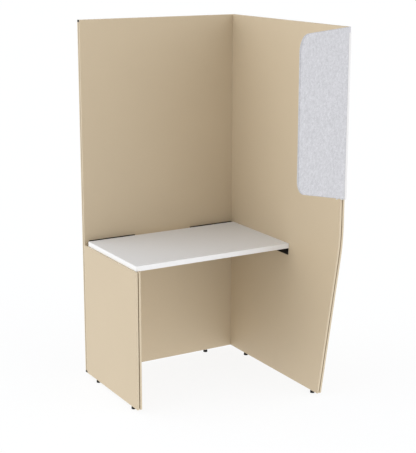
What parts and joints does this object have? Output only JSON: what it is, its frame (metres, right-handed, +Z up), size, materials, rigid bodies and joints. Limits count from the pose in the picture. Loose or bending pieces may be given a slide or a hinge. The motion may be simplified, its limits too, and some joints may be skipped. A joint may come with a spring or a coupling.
{
  "type": "office booth",
  "caption": "Open office work booth: high back and side panels, a low side panel under a white worktop, a felt wing screen on the front edge and screw levelling feet.",
  "frame": {"origin": "on the floor, at the centre of the booth's footprint", "axes": "+Z up, +X to the tall side panel on the user's right, +Y towards the back panel"},
  "size_m": [0.886, 1.1882, 1.813],
  "materials": {
    "panel_laminate": "matt beige melamine on board",
    "core_board": "dark core seen at the bottom of the edge groove",
    "worktop_laminate": "matt white melamine",
    "edge_band": "satin white edge band",
    "black_steel": "black powder coat",
    "zinc_steel": "zinc plated",
    "foot_plastic": "moulded black nylon",
    "cap_plastic": "moulded black",
    "grey_felt": "pressed mottled light grey felt board",
    "holder_plastic": "satin white extrusion"
  },
  "bodies": {
    "booth": {"back_core": "core_board", "back_front_board": "panel_laminate", "back_rear_board": "panel_laminate", "felt_screen": "grey_felt", "felt_screws": "zinc_steel", "foot_nut_blocks": "zinc_steel", "groove_caps": "cap_plastic", "low_bracket": "black_steel", "low_core": "core_board", "low_corner_bolts": "zinc_steel", "low_corner_nuts": "zinc_steel", "low_inner_board": "panel_laminate", "low_outer_board": "panel_laminate", "rear_bracket_left": "black_steel", "rear_bracket_right": "black_steel", "screen_holder": "holder_plastic", "side_bracket": "black_steel", "tall_core": "core_board", "tall_corner_bolts": "zinc_steel", "tall_corner_nuts": "zinc_steel", "tall_inner_board": "panel_laminate", "tall_outer_board": "panel_laminate", "wall_screws": "black_steel", "worktop_board": "worktop_laminate", "worktop_front_band": "edge_band", "worktop_left_band": "edge_band", "worktop_rear_band": "edge_band", "worktop_right_band": "edge_band", "worktop_screws": "black_steel"},
    "foot_back_left": {"foot_pad_back_left": "foot_plastic", "foot_stud_back_left": "zinc_steel"},
    "foot_back_right": {"foot_pad_back_right": "foot_plastic", "foot_stud_back_right": "zinc_steel"},
    "foot_tall_rear": {"foot_pad_tall_rear": "foot_plastic", "foot_stud_tall_rear": "zinc_steel"},
    "foot_tall_front": {"foot_pad_tall_front": "foot_plastic", "foot_stud_tall_front": "zinc_steel"},
    "foot_low_rear": {"foot_pad_low_rear": "foot_plastic", "foot_stud_low_rear": "zinc_steel"},
    "foot_low_front": {"foot_pad_low_front": "foot_plastic", "foot_stud_low_front": "zinc_steel"}
  },
  "joints": [
    {"name": "foot_back_left_screw", "type": "slide", "parent": "booth", "child": "foot_back_left", "axis": [0, 0, -1], "range_m": [0, 0.01]},
    {"name": "foot_back_right_screw", "type": "slide", "parent": "booth", "child": "foot_back_right", "axis": [0, 0, -1], "range_m": [0, 0.01]},
    {"name": "foot_tall_rear_screw", "type": "slide", "parent": "booth", "child": "foot_tall_rear", "axis": [0, 0, -1], "range_m": [0, 0.01]},
    {"name": "foot_tall_front_screw", "type": "slide", "parent": "booth", "child": "foot_tall_front", "axis": [0, 0, -1], "range_m": [0, 0.01]},
    {"name": "foot_low_rear_screw", "type": "slide", "parent": "booth", "child": "foot_low_rear", "axis": [0, 0, -1], "range_m": [0, 0.01]},
    {"name": "foot_low_front_screw", "type": "slide", "parent": "booth", "child": "foot_low_front", "axis": [0, 0, -1], "range_m": [0, 0.01]}
  ]
}
